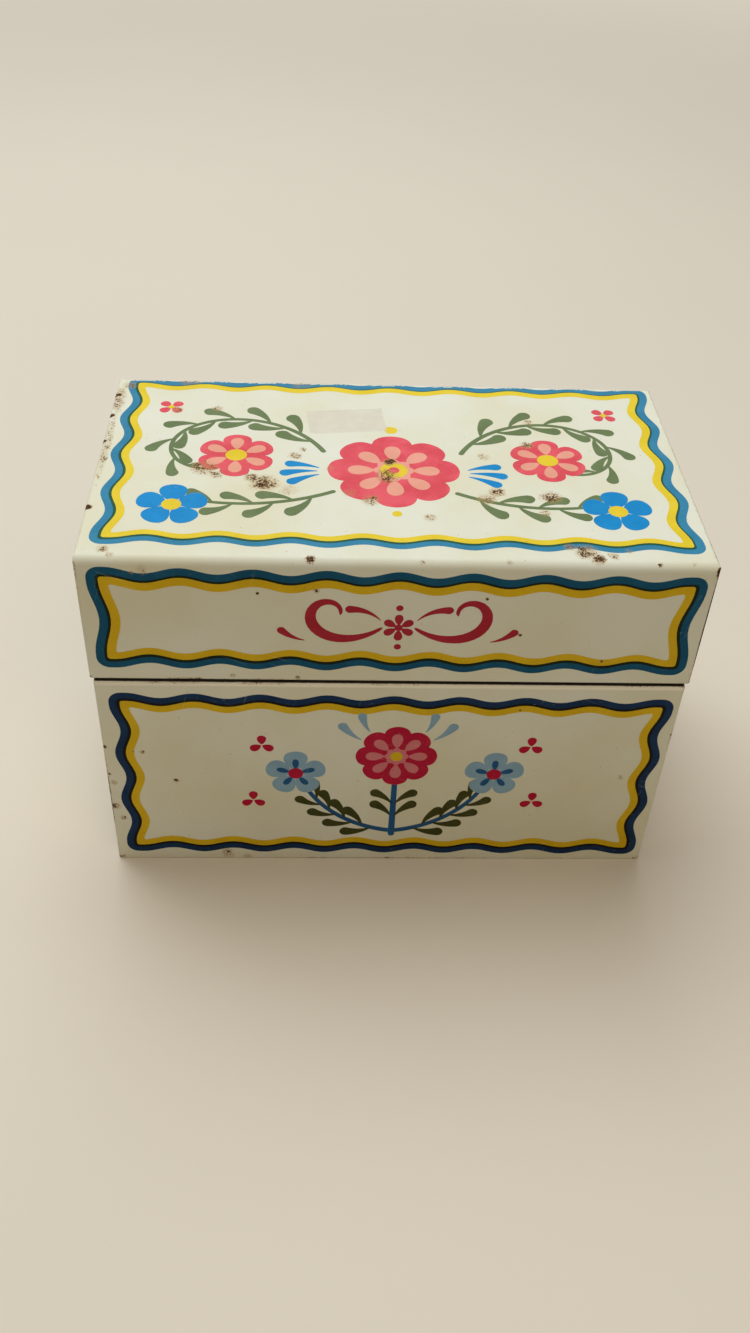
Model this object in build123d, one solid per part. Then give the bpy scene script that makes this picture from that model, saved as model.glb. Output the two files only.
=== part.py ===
from build123d import *

# A hinged tinplate box for 5 by 3 inch recipe cards.
#
# The box stands on z = 0 with the middle of its footprint at the origin. +X is to the right and -Y is the
# front. A folded wall closes on a bottom pan, a collar inside its rim guides the deep lid, and two rolled
# hinges at the back carry the lid on short wires. Every size is in millimetres and every angle in degrees.

import os
from math import cos, radians, sin, sqrt

# Whole box, measured over the lid
lid_width = 136.0
lid_depth = 78.5
box_height = 95.0
lid_height = 33.0

# Sheet and how it is folded
sheet = 0.35
corner_radius = 0.8
end_fold_radius = 0.8
lid_fold_radius = 2.1
tightest_bend = 0.1
hem_thickness = 0.9
hem_height = 2.5
hem_rounding = 0.3
rim_rounding = 0.7
rim_inner_rounding = 0.15

# How the lid sits on the wall
lid_overhang = 0.5
lid_gap = 1.2
lid_tab_width = 9.0
lid_tab_inset = 3.0

# Bottom pan and the fold that holds it
pan_floor_height = 3.0
pan_seat_clearance = 0.02
pan_rounding = 0.25
panel_margin = 13.0
panel_rise = 0.6
panel_corner_radius = 6.0
bottom_fold_rounding = 0.3

# Lock seam up the back
seam_width = 5.0
seam_layers = 2
seam_end_gap = 0.3
seam_line_width = 0.2
seam_line_depth = 0.15

# Collar inside the rim
collar_stand = 6.75
collar_tuck = 9.0
collar_hem_height = 1.8
collar_back_gap = 3.0
collar_corner_radius = 3.5

# Hinges
hinge_inset = 29.0
wire_radius = 0.7
wire_clearance = 0.05
wire_end = 0.5
wire_chamfer = 0.2
axis_rise = 2.15
body_knuckle_length = 6.0
lid_knuckle_length = 10.0
knuckle_side_gap = 0.3
knuckle_wrap_degrees = 265.0
leaf_height = 9.5
leaf_bend_radius = 0.5
leaf_shoulder_gap = 0.5
leaf_corner_radius = 1.5
weld_radius = 0.9
weld_depth = 0.1
weld_spacing = 13.0
notch_side_gap = 0.3
notch_top_gap = 0.5
back_edge_relief = 0.35
relief_reach = 1.5

# Worked out from the sizes above
body_width = lid_width - 2 * lid_overhang
body_depth = lid_depth - 2 * lid_overhang
lid_edge = box_height - lid_height
rim = lid_edge - lid_gap
body_bore = wire_radius
lid_bore = wire_radius + wire_clearance
lid_barrel = lid_bore + sheet
axis_y = lid_depth / 2 - lid_barrel
axis_z = rim + axis_rise
hinge_width = 2 * body_knuckle_length + lid_knuckle_length + 2 * knuckle_side_gap
pan_outset = sheet + pan_seat_clearance
pan_fold_reach = pan_outset + sheet + pan_seat_clearance
bottom_fold_height = pan_floor_height - sheet - 2 * pan_seat_clearance
through = 2 * box_height


def rounded_bar(width, depth, low, high, corner):
    """An upright bar of rounded rectangular section between two heights."""
    section = Pos(0, 0, low) * RectangleRounded(width, depth, max(corner, tightest_bend))
    return extrude(section, amount=high - low)


def body_bar(inset, low, high):
    """A bar that follows the outside of the wall, drawn in by an inset."""
    return rounded_bar(body_width - 2 * inset, body_depth - 2 * inset, low, high, corner_radius - inset)


def span(x_low, x_high, y_low, y_high, z_low, z_high):
    """A plain block between six planes."""
    middle = ((x_low + x_high) / 2, (y_low + y_high) / 2, (z_low + z_high) / 2)
    return Pos(*middle) * Box(x_high - x_low, y_high - y_low, z_high - z_low)


def level_face(shape, height):
    """The level face of a shape at one height."""
    reach = 0.001
    return shape.faces().filter_by(Axis.Z).filter_by_position(Axis.Z, height - reach, height + reach)[0]


def round_ring(shape, height, outer_radius, inner_radius):
    """Round a ring-shaped edge of folded sheet, with its own radius outside and inside."""
    outside = level_face(shape, height).outer_wire().edges()
    shape = fillet(outside, outer_radius)
    inside = [edge for wire in level_face(shape, height).inner_wires() for edge in wire.edges()]
    return fillet(inside, inner_radius)


def cap(inset, low):
    """The outer form of the lid drawn in by an inset: soft front and back folds and tighter end folds."""
    top = box_height - inset
    front_to_back = end_on(lid_depth - 2 * inset, low, top, lid_fold_radius - inset)
    side_to_side = end_on(lid_width - 2 * inset, low, top, end_fold_radius - inset)
    bar = rounded_bar(lid_width - 2 * inset, lid_depth - 2 * inset, low, top, corner_radius - inset)
    across = extrude(Plane.YZ * front_to_back, amount=lid_width, both=True)
    along = extrude(Plane.XZ * side_to_side, amount=lid_width, both=True)
    return bar & across & along


def end_on(width, low, top, fold):
    """A box seen from one side, with its two upper corners rounded."""
    outline = Pos(0, (top + low) / 2) * Rectangle(width, top - low)
    return fillet(outline.vertices().group_by(Axis.Y)[-1], fold)


def lid_skirt_hem():
    """The clear opening inside the lid's folded lower edge."""
    width = lid_width - 2 * hem_thickness
    depth = lid_depth - 2 * hem_thickness
    return rounded_bar(width, depth, lid_edge, lid_edge + hem_height, corner_radius - hem_thickness)


def lid_shell():
    """The lid: one blank folded down on four sides, hemmed, with corner tabs and hinge notches."""
    shell = cap(0, lid_edge) - cap(sheet, lid_edge + hem_height) - lid_skirt_hem()
    shell = round_ring(shell, lid_edge, hem_rounding, hem_rounding)
    for side in (-1, 1):
        for end in (-1, 1):
            shell += lid_corner_tab(side, end)
    shell -= span(
        -lid_width, lid_width, axis_y - relief_reach, lid_depth, 0, lid_edge + back_edge_relief
    )
    for centre in hinge_centres():
        shell -= lid_notch(centre)
    return shell


def lid_corner_tab(side, end):
    """A tab of the front or back skirt, folded flat behind the end skirt."""
    outer = lid_width / 2 - sheet
    start = lid_depth / 2 - corner_radius
    across = sorted((side * (outer - sheet), side * (outer + sheet / 2)))
    along = sorted((end * (start - lid_tab_width), end * start))
    tab = span(*across, *along, lid_edge + hem_height, box_height - lid_tab_inset)
    free_edges = tab.edges().filter_by(Axis.X).group_by(Axis.Y)[0 if end > 0 else -1]
    return chamfer(free_edges.sort_by(Axis.Z)[-1], lid_tab_width / 2)


def lid_notch(centre):
    """Room in the back skirt for one hinge: the whole edge below, and the hem's inner layer above."""
    reach = hinge_width / 2 + wire_end + notch_side_gap
    top = axis_z + lid_barrel + notch_top_gap
    hem_top = lid_edge + hem_height
    edge = span(centre - reach, centre + reach, axis_y - relief_reach, lid_depth, 0, top)
    layer_back = lid_depth / 2 - sheet
    layer = span(centre - reach, centre + reach, axis_y - relief_reach, layer_back, 0, hem_top + sheet)
    return edge + layer


def body_wall():
    """The wall: one strip folded round, hemmed at the rim, and folded in around the pan below."""
    wall = body_bar(0, 0, rim)
    wall -= body_bar(sheet, bottom_fold_height, rim - hem_height)
    wall -= body_bar(hem_thickness, rim - hem_height, rim)
    wall -= body_bar(pan_fold_reach + sheet, 0, bottom_fold_height)
    wall -= body_bar(sheet, sheet, bottom_fold_height) - body_bar(pan_fold_reach, 0, through)
    wall = round_ring(wall, rim, rim_rounding, rim_inner_rounding)
    wall = round_ring(wall, 0, bottom_fold_rounding, bottom_fold_rounding)
    wall += lock_seam()
    wall -= seam_line()
    for centre in hinge_centres():
        wall -= rim_notch(centre)
    return wall


def lock_seam():
    """The extra layers where the strip's ends hook together, inside the middle of the back."""
    inner = body_depth / 2 - sheet
    low = pan_floor_height + seam_end_gap
    high = rim - hem_height - seam_end_gap
    strip = span(
        -seam_width / 2, seam_width / 2, inner - seam_layers * sheet, inner + sheet / 2, low, high
    )
    return chamfer(strip.edges().filter_by(Axis.Z).group_by(Axis.Y)[0], sheet)


def seam_line():
    """The fine line that the lock seam shows on the outside of the back."""
    middle = seam_width / 2
    back = body_depth / 2
    return span(
        middle - seam_line_width / 2,
        middle + seam_line_width / 2,
        back - seam_line_depth,
        back + sheet,
        bottom_fold_height,
        rim - rim_rounding,
    )


def rim_notch(centre):
    """Room for a hinge leaf where the rim's inner layer is cut away."""
    reach = hinge_width / 2 + knuckle_side_gap
    layer_back = body_depth / 2 - sheet
    return span(centre - reach, centre + reach, 0, layer_back, rim - hem_height, rim)


def bottom_pan():
    """The bottom: a shallow upturned pan whose flange hangs in the wall's fold, with a raised panel."""
    floor_under = pan_floor_height - sheet
    pan = body_bar(pan_outset, sheet, pan_floor_height)
    pan = fillet(level_face(pan, pan_floor_height).edges(), pan_rounding)
    pan -= body_bar(pan_outset + sheet, sheet, floor_under)
    pan += raised_panel(0, pan_floor_height, pan_floor_height + panel_rise)
    pan -= raised_panel(sheet, floor_under, floor_under + panel_rise)
    return fillet(level_face(pan, pan_floor_height + panel_rise).edges(), pan_rounding)


def raised_panel(inset, low, high):
    """The bar that stamps the raised panel of the floor, drawn in by an inset."""
    width = body_width - 2 * panel_margin - 2 * inset
    depth = body_depth - 2 * panel_margin - 2 * inset
    return rounded_bar(width, depth, low, high, panel_corner_radius - inset)


def inner_collar():
    """The collar: a strip bent round the front and sides inside the rim, with its top edge hemmed."""
    outer = hem_thickness
    inner = outer + sheet
    low = rim - collar_tuck
    high = rim + collar_stand
    collar = body_bar(outer, low, high) - body_bar(inner, low, high)
    hem = body_bar(outer, high - collar_hem_height, high)
    collar += hem - body_bar(inner + sheet, high - collar_hem_height, high)
    back_end = axis_y - collar_back_gap
    front_end = -lid_depth
    side = Pos((front_end + back_end) / 2, (low + high) / 2) * Rectangle(back_end - front_end, high - low)
    side = fillet(side.vertices().group_by(Axis.X)[-1], collar_corner_radius)
    return collar & extrude(Plane.YZ * side, amount=lid_width, both=True)


def hinge_centres():
    """Where the two hinges stand along the back, left then right."""
    reach = lid_width / 2 - hinge_inset
    return (-reach, reach)


def rolled_strip(plate_y, plate_end, curl_radius, turn, length):
    """A leaf's sheet seen from the end and drawn out to a length along X.

    It runs along the plate, steps in to the barrel's inner side and rolls round the wire. The drawing has
    the wire at its origin. turn is 1 to roll over the top of the wire and -1 to roll under it.
    """
    step_in = abs(plate_y + curl_radius) + leaf_bend_radius
    step_start = turn * -(step_in + leaf_bend_radius)
    straight = FilletPolyline(
        (plate_y, plate_end),
        (plate_y, step_start),
        (-curl_radius, turn * -leaf_bend_radius),
        (-curl_radius, 0),
        radius=leaf_bend_radius,
    )
    roll = CenterArc((0, 0), curl_radius, 180, -turn * knuckle_wrap_degrees)
    section = trace(Wire(straight.edges() + roll.edges()), sheet)
    return extrude(Plane.YZ * section, amount=length / 2, both=True)


def leaf_plate(plate_y, low, high):
    """The flat of a leaf with its two far corners rounded and two spot welds pressed in."""
    plate = span(-hinge_width / 2, hinge_width / 2, plate_y - sheet / 2, plate_y + sheet / 2, low, high)
    far = high if high > 0 else low
    far_corners = [edge for edge in plate.edges().filter_by(Axis.Y) if abs(edge.center().Z - far) < sheet]
    plate = fillet(far_corners, leaf_corner_radius)
    for side in (-1, 1):
        weld = Cylinder(weld_radius, 2 * weld_depth, rotation=(90, 0, 0))
        plate -= Pos(side * weld_spacing / 2, plate_y - sheet / 2, (low + high) / 2) * weld
    return plate


def hinge_body_leaf(centre):
    """The leaf inside the back wall, with two knuckles that are crimped on the wire."""
    curl = body_bore + sheet / 2
    plate_y = body_depth / 2 - 1.5 * sheet - axis_y
    plate_top = -(plate_y + curl + 2 * leaf_bend_radius + leaf_shoulder_gap)
    plate_low = plate_top - leaf_height
    leaf = leaf_plate(plate_y, plate_low, plate_top)
    knuckle_x = (lid_knuckle_length + body_knuckle_length) / 2 + knuckle_side_gap
    for side in (-1, 1):
        knuckle = rolled_strip(plate_y, (plate_low + plate_top) / 2, curl, 1, body_knuckle_length)
        leaf += Pos(side * knuckle_x, 0, 0) * knuckle
    return Pos(centre, axis_y, axis_z) * leaf


def hinge_lid_leaf(centre):
    """The leaf inside the lid's back skirt, with one knuckle that turns on the wire."""
    curl = lid_bore + sheet / 2
    plate_y = lid_depth / 2 - 1.5 * sheet - axis_y
    plate_low = plate_y + curl + 2 * leaf_bend_radius + leaf_shoulder_gap
    leaf = leaf_plate(plate_y, plate_low, plate_low + leaf_height)
    leaf += rolled_strip(plate_y, plate_low + leaf_height / 2, curl, -1, lid_knuckle_length)
    return Pos(centre, axis_y, axis_z) * leaf


def hinge_wire(centre):
    """The short steel wire that one hinge turns on."""
    wire = Cylinder(wire_radius, hinge_width + 2 * wire_end, rotation=(0, 90, 0))
    wire = chamfer(wire.edges().filter_by(GeomType.CIRCLE), wire_chamfer)
    return Pos(centre, axis_y, axis_z) * wire


def opening_angle_limit():
    """The angle in degrees at which the lid's back skirt meets the wall's rolled rim."""
    roll = rim_rounding
    reach_y = body_depth / 2 - roll - axis_y
    reach_z = axis_rise + roll
    for tenth in range(900, 1800):
        angle = radians(tenth / 10)
        if reach_y * cos(angle) + reach_z * sin(angle) - roll < lid_barrel:
            return tenth / 10
    return 180.0


def back_edge_clearance():
    """How far the lid's lower back corner stays from the wall's rim as it swings past."""
    corner = sqrt(lid_barrel**2 + (lid_edge + back_edge_relief - axis_z) ** 2)
    rim_corner = sqrt((body_depth / 2 - rim_rounding - axis_y) ** 2 + (axis_rise + rim_rounding) ** 2)
    return rim_corner - rim_rounding - corner


def parts():
    """Every piece of the box by its name."""
    left, right = hinge_centres()
    return {
        "body_wall": body_wall(),
        "bottom_pan": bottom_pan(),
        "inner_collar": inner_collar(),
        "lid_shell": lid_shell(),
        "hinge_body_leaf_left": hinge_body_leaf(left),
        "hinge_body_leaf_right": hinge_body_leaf(right),
        "hinge_lid_leaf_left": hinge_lid_leaf(left),
        "hinge_lid_leaf_right": hinge_lid_leaf(right),
        "hinge_wire_left": hinge_wire(left),
        "hinge_wire_right": hinge_wire(right),
    }


os.makedirs("parts", exist_ok=True)
for name, shape in parts().items():
    export_step(shape, f"parts/{name}.step")
print("hinge axis at y", round(axis_y, 3), "z", round(axis_z, 3))
print("lid stops at", opening_angle_limit(), "degrees, back edge clears by", round(back_edge_clearance(), 3))
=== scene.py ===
import logging
import math
from dataclasses import dataclass, field
from enum import Enum
from functools import cache, partial, reduce
from itertools import accumulate
from typing import Iterator, Sequence

import bmesh
import bpy
from mathutils import Euler, Matrix, Vector


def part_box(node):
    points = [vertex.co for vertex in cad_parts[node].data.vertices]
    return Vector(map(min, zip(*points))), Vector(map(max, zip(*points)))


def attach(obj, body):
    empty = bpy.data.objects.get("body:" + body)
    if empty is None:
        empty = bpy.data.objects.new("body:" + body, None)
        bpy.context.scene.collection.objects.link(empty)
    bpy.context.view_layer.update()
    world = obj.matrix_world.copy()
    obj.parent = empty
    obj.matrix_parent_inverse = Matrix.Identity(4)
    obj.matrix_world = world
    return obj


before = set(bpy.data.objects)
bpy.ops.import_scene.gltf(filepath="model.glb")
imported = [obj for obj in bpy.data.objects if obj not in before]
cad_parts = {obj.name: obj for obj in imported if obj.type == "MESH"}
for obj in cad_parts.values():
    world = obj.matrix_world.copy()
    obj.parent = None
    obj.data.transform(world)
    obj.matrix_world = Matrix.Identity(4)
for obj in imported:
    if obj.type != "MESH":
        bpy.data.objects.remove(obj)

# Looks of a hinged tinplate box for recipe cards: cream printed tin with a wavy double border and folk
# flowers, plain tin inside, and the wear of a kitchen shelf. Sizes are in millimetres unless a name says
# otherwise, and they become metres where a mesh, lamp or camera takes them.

MM = 0.001
log = logging.getLogger("card_box")

Point = tuple[float, float]
Triple = tuple[float, float, float]
Edges = tuple[float, float, float, float]
Socket = bpy.types.NodeSocket
Material = bpy.types.Material


@cache
def millimetres(node: str) -> tuple[Vector, Vector]:
    """The lowest and highest corners of a frame node, in millimetres."""
    low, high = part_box(node)
    return Vector(low) / MM, Vector(high) / MM


def linear(colour: Triple) -> tuple[float, float, float, float]:
    """A colour in steps of 0 to 255 as the linear colour that a shader takes."""
    steps = [value / 255 for value in colour]
    return (*(s / 12.92 if s <= 0.04045 else ((s + 0.055) / 1.055) ** 2.4 for s in steps), 1.0)


def added(name: str, data: bpy.types.ID) -> bpy.types.Object:
    """A new object in the scene.

    Args:
        name: Its name.
        data: Its mesh, lamp or camera.

    Returns:
        The object.
    """
    piece = bpy.data.objects.new(name, data)
    bpy.context.scene.collection.objects.link(piece)
    return piece


# Node wiring


class Graph:
    """Adds shader nodes to one tree and wires each as it is made.

    place is the shaded spot, in millimetres.
    """

    place: Socket

    def __init__(self, tree: bpy.types.NodeTree) -> None:
        """Args: tree: The node tree to fill."""
        self.tree = tree

    def add(self, kind: str, feeds: dict | None = None, **settings: object) -> bpy.types.Node:
        """Make one node.

        Args:
            kind: The node's type name.
            feeds: Sockets or plain values for its inputs, by name or number.
            **settings: Properties of the node itself.

        Returns:
            The new node.
        """
        node = self.tree.nodes.new(kind)
        for name, value in settings.items():
            setattr(node, name, value)
        for name, value in (feeds or {}).items():
            if isinstance(value, Socket):
                self.tree.links.new(value, node.inputs[name])
            else:
                node.inputs[name].default_value = value
        return node

    def math(self, operation: str, *values: object) -> Socket:
        """One arithmetic step, such as POWER, on one or two numbers."""
        return self.add("ShaderNodeMath", dict(enumerate(values)), operation=operation).outputs[0]

    def join(self, operation: str, values: Sequence[object]) -> Socket:
        """Numbers joined in turn by one step, such as MINIMUM."""
        return reduce(partial(self.math, operation), values)

    def times(self, *values: object) -> Socket:
        """The product of numbers."""
        return self.join("MULTIPLY", values)

    def plus(self, *values: object) -> Socket:
        """The sum of numbers."""
        return self.join("ADD", values)

    def minus(self, first: object, second: object) -> Socket:
        """One number less another."""
        return self.math("SUBTRACT", first, second)

    def vector(self, operation: str, *values: object) -> Socket:
        """One arithmetic step on vectors, which gives a number for LENGTH and a vector otherwise."""
        node = self.add("ShaderNodeVectorMath", dict(enumerate(values)), operation=operation)
        return node.outputs["Value" if operation == "LENGTH" else "Vector"]

    def parts(self, vector: Socket) -> bpy.types.NodeOutputs:
        """The X, Y and Z of a vector."""
        return self.add("ShaderNodeSeparateXYZ", {0: vector}).outputs

    def noise(
        self, scale: float, detail: float = 2.0, roughness: float = 0.5, at: Socket | None = None
    ) -> Socket:
        """Cloudy noise about 0.5.

        Args:
            scale: Features to a millimetre.
            detail: How many finer layers it has.
            roughness: How strong those are.
            at: Where to look it up, if not at the shaded spot.

        Returns:
            The noise's socket.
        """
        where = self.place if at is None else at
        feeds = {"Vector": where, "Scale": scale, "Detail": detail, "Roughness": roughness}
        return self.add("ShaderNodeTexNoise", feeds).outputs["Fac"]

    def ramp(self, value: object, start: float, end: float, low: float = 0.0, high: float = 1.0) -> Socket:
        """A smooth step from low to high as a value goes from start to end."""
        feeds = {"Value": value, "From Min": start, "From Max": end, "To Min": low, "To Max": high}
        return self.add("ShaderNodeMapRange", feeds, interpolation_type="SMOOTHSTEP").outputs[0]

    def mix(self, factor: object, first: object, second: object, blend: str = "MIX") -> Socket:
        """A blend of two colours. With MULTIPLY, the second lies over the first as a coloured film."""
        feeds = {0: factor, 6: first, 7: second}
        return self.add("ShaderNodeMix", feeds, data_type="RGBA", blend_type=blend).outputs[2]

    def blend(self, factor: object, first: object, second: object) -> Socket:
        """A blend of two numbers, which is the first where the factor is 0."""
        return self.add("ShaderNodeMix", {0: factor, 2: first, 3: second}, data_type="FLOAT").outputs[0]


class Surface(Graph):
    """The graph of a new material."""

    def __init__(self, name: str) -> None:
        """Args: name: The material's name."""
        self.material = bpy.data.materials.new(name)
        self.material.use_nodes = True
        self.material.node_tree.nodes.clear()
        super().__init__(self.material.node_tree)
        feeds = {0: self.add("ShaderNodeTexCoord").outputs["Object"], "Scale": 1 / MM}
        self.place = self.add("ShaderNodeVectorMath", feeds, operation="SCALE").outputs["Vector"]

    def shaded(self, feeds: dict, height: Socket) -> Material:
        """Finish the material.

        Args:
            feeds: Sockets or plain values for the shader's inputs.
            height: The height of its fine relief, in millimetres.

        Returns:
            The material.
        """
        bump = self.add("ShaderNodeBump", {"Height": height, "Strength": 1.0, "Distance": MM})
        shader = self.add("ShaderNodeBsdfPrincipled", {**feeds, "Normal": bump.outputs["Normal"]})
        self.add("ShaderNodeOutputMaterial", {"Surface": shader.outputs[0]})
        return self.material


# Wear


@dataclass(frozen=True)
class Scuff:
    """A worn place: its middle and its reach along each axis, and how worn it is, from 0 to 1 or more."""

    middle: Triple
    reach: Triple
    strength: float


@dataclass(frozen=True)
class TapeMark:
    """Dried adhesive on a top face: its middle, its half width and half depth, and its turn in degrees."""

    middle: Triple
    reach: Point
    turn: float

    def cover(self, graph: Graph) -> Socket:
        """Where the adhesive lies.

        Args:
            graph: The graph to add to.

        Returns:
            Its cover's socket, 0 to 1.
        """
        turn = (0.0, 0.0, math.radians(self.turn))
        feeds = {"Vector": graph.place, "Location": self.middle, "Rotation": turn}
        local = graph.add("ShaderNodeMapping", feeds, vector_type="TEXTURE").outputs[0]
        parts = graph.parts(graph.vector("ABSOLUTE", local))
        ragged = graph.times(graph.noise(0.8, 3.0), 0.9)
        insides = [graph.plus(graph.minus(self.reach[axis], parts[axis]), ragged) for axis in (0, 1)]
        inside = graph.ramp(graph.join("MINIMUM", insides), 0.3, 0.7)
        near = graph.math("LESS_THAN", parts["Z"], 1.0)
        return graph.times(inside, near, graph.ramp(graph.noise(0.35, 4.0, 0.6), 0.3, 0.7, 0.55, 1.0))


class TinBlock:
    """The outer form of a folded tin part, which its edge wear and its inner side follow."""

    corner_fold = 0.8
    front_fold = 2.1
    end_fold = 0.8

    def __init__(self, node: str, closed_top: bool) -> None:
        """Args: node: The part's name. closed_top: Whether it has a top face."""
        low, high = millimetres(node)
        self.half_width = (high.x - low.x) / 2
        self.half_depth = (high.y - low.y) / 2
        self.low = low.z
        self.high = high.z
        self.closed_top = closed_top

    def depth(self, graph: Graph) -> Socket:
        """How deep under the outer form a place lies, as far as its folds' radii tell.

        Args:
            graph: The graph to add to.

        Returns:
            The depth's socket, in millimetres.
        """
        prisms = [((1.0, 1.0, 0.0), self.corner_fold)]
        if self.closed_top:
            prisms += [((0.0, 1.0, 1.0), self.front_fold), ((1.0, 0.0, 1.0), self.end_fold)]
        spread = graph.vector("ABSOLUTE", graph.place)
        depths = []
        for section, fold in prisms:
            core = (self.half_width - fold, self.half_depth - fold, self.high - fold)
            beyond = graph.vector("MAXIMUM", graph.vector("SUBTRACT", spread, core), (0.0, 0.0, 0.0))
            beyond = graph.vector("MULTIPLY", beyond, section)
            depths.append(graph.minus(fold, graph.vector("LENGTH", beyond)))
        return graph.join("MINIMUM", depths)


class Wear:
    """The wear that paint, ink and bare edges share, so that a chip runs through all of them."""

    def __init__(
        self, name: str, block: TinBlock, scuffs: Sequence[Scuff], tape: TapeMark | None = None
    ) -> None:
        """Build the wear as a node group.

        Args:
            name: The group's name.
            block: The part whose edges wear.
            scuffs: The worn places on it.
            tape: Adhesive left on it, if any.
        """
        self.group = bpy.data.node_groups.new(name, "ShaderNodeTree")
        self.group.interface.new_socket("Place", in_out="INPUT", socket_type="NodeSocketVector")
        graph = Graph(self.group)
        graph.place = graph.add("NodeGroupInput").outputs["Place"]
        density = self._density(graph, block, scuffs)
        grains = graph.times(graph.noise(2.7, 3.0, 0.62), 0.60)
        lumps = graph.times(graph.noise(0.45, 3.0, 0.6), 0.34)
        flake = graph.plus(grains, lumps, graph.times(density, 0.37))
        murk = graph.plus(density, graph.times(graph.noise(0.5, 4.0, 0.6), 0.7))
        outputs = {
            "Chip": graph.ramp(flake, 0.755, 0.780),
            "Halo": graph.ramp(flake, 0.665, 0.755),
            "Grime": graph.ramp(murk, 0.66, 1.24),
            "Stain": graph.ramp(graph.noise(0.021, 3.0, 0.55), 0.40, 0.75),
            "Speck": graph.ramp(graph.noise(1.05, 2.0, 0.6), 0.725, 0.77),
            "Scratch": self._scratches(graph),
            "Tape": tape.cover(graph) if tape else 0.0,
        }
        for output in outputs:
            self.group.interface.new_socket(output, in_out="OUTPUT", socket_type="NodeSocketFloat")
        graph.add("NodeGroupOutput", outputs)

    @staticmethod
    def _density(graph: Graph, block: TinBlock, scuffs: Sequence[Scuff]) -> Socket:
        """How worn a place is, from its scuffs and from the nearest fold.

        Args:
            graph: The graph to add to.
            block: The part whose edges wear.
            scuffs: The worn places.

        Returns:
            The wear's socket, 0 to about 1.
        """
        parts = graph.parts(graph.place)
        side = graph.minus(block.half_width, graph.math("ABSOLUTE", parts["X"]))
        depth = graph.minus(block.half_depth, graph.math("ABSOLUTE", parts["Y"]))
        above = graph.minus(block.high, parts["Z"])
        below = graph.minus(parts["Z"], block.low)
        reaches = []
        for gaps in ((side, depth), (side, above), (depth, above), (side, below), (depth, below)):
            squares = [graph.math("POWER", gap, 2.0) for gap in gaps]
            reaches.append(graph.math("SQRT", graph.plus(*squares)))
        nearest = graph.join("MINIMUM", reaches)
        patchy = graph.ramp(graph.noise(0.055, 3.0, 0.6), 0.42, 0.66)
        worn = [graph.times(graph.ramp(nearest, 1.4, 0.2, 0.0, 0.68), patchy)]
        for scuff in scuffs:
            offset = graph.vector("SUBTRACT", graph.place, scuff.middle)
            distance = graph.vector("LENGTH", graph.vector("DIVIDE", offset, scuff.reach))
            worn.append(graph.ramp(distance, 1.0, 0.15, 0.0, scuff.strength))
        return graph.join("MAXIMUM", worn)

    @staticmethod
    def _scratches(graph: Graph) -> Socket:
        """Fine rubbed lines in a few directions, in patches.

        Args:
            graph: The graph to add to.

        Returns:
            The scratches' socket, 0 to 1.
        """
        lines = []
        for tilt, turn in ((0.0, 17.0), (0.0, 118.0), (24.0, 0.0), (105.0, 0.0)):
            rotation = (0.0, math.radians(tilt), math.radians(turn))
            feeds = {"Vector": graph.place, "Rotation": rotation, "Scale": (11.0, 0.5, 0.5)}
            turned = graph.add("ShaderNodeMapping", feeds, vector_type="TEXTURE").outputs[0]
            lines.append(graph.ramp(graph.noise(1.0, 1.0, 0.4, turned), 0.73, 0.765))
        return graph.times(graph.join("MAXIMUM", lines), graph.ramp(graph.noise(0.04, 1.0), 0.46, 0.60))

    def read(self, graph: Graph) -> bpy.types.NodeOutputs:
        """The wear's outputs, by name, at the spot that a material shades."""
        return graph.add("ShaderNodeGroup", {"Place": graph.place}, node_tree=self.group).outputs


# Round scuffs: each one's distance from the left edge and from the front or lower edge, its size, and how
# worn it is.
LID_TOP_SCUFFS = (
    (25.8, 63.0, 2.8, 0.72), (16.0, 62.2, 3.2, 0.68), (24.5, 35.6, 6.4, 0.76), (27.5, 33.0, 3.6, 0.72),
    (38.3, 29.6, 6.6, 0.86), (35.5, 32.0, 3.6, 0.84), (44.0, 27.0, 5.0, 0.60), (45.2, 41.8, 3.2, 0.76),
    (46.8, 44.6, 2.4, 0.64), (53.4, 36.6, 3.0, 0.58), (67.3, 39.6, 3.4, 0.86), (66.4, 33.6, 5.6, 0.80),
    (62.4, 23.4, 4.6, 0.74), (57.6, 26.4, 3.4, 0.62), (91.0, 27.6, 4.0, 0.82), (88.4, 24.6, 4.8, 0.68),
    (100.2, 48.3, 3.2, 0.82), (102.0, 59.4, 2.8, 0.66), (103.2, 25.8, 5.0, 0.78), (101.0, 19.4, 3.0, 0.64),
    (89.6, 42.7, 3.6, 0.60), (75.2, 16.9, 3.0, 0.70), (108.0, 4.6, 5.4, 0.80), (110.0, 2.4, 3.4, 0.92),
    (104.5, 6.4, 3.0, 0.66), (123.0, 0.9, 1.5, 0.78), (130.4, 1.2, 1.2, 0.66), (113.4, 3.6, 2.6, 0.72),
    (117.0, 5.4, 2.0, 0.60), (49.2, 1.0, 2.3, 0.86), (72.6, 0.6, 1.6, 0.70), (91.0, 0.8, 1.8, 0.66),
    (5.8, 3.6, 2.8, 0.74), (7.6, 1.6, 2.0, 0.66), (0.5, 19.0, 1.9, 1.25), (0.2, 46.8, 1.5, 1.25),
    (0.4, 58.8, 1.8, 1.20), (0.6, 69.0, 2.8, 1.00), (3.0, 74.0, 4.0, 0.70), (18.0, 77.0, 6.0, 0.64),
    (46.0, 77.2, 7.0, 0.56),
)
LID_FRONT_SCUFFS = (
    (95.2, 13.9, 0.9, 1.1), (87.0, 23.8, 0.8, 1.1), (38.0, 24.5, 0.7, 1.1), (50.4, 25.4, 1.5, 0.7),
    (32.0, 1.3, 1.5, 0.74), (46.5, 0.8, 1.4, 0.74), (114.5, 6.6, 0.9, 0.9), (14.0, 30.3, 2.6, 0.62),
    (12.0, 29.6, 1.2, 0.70),
)
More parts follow.
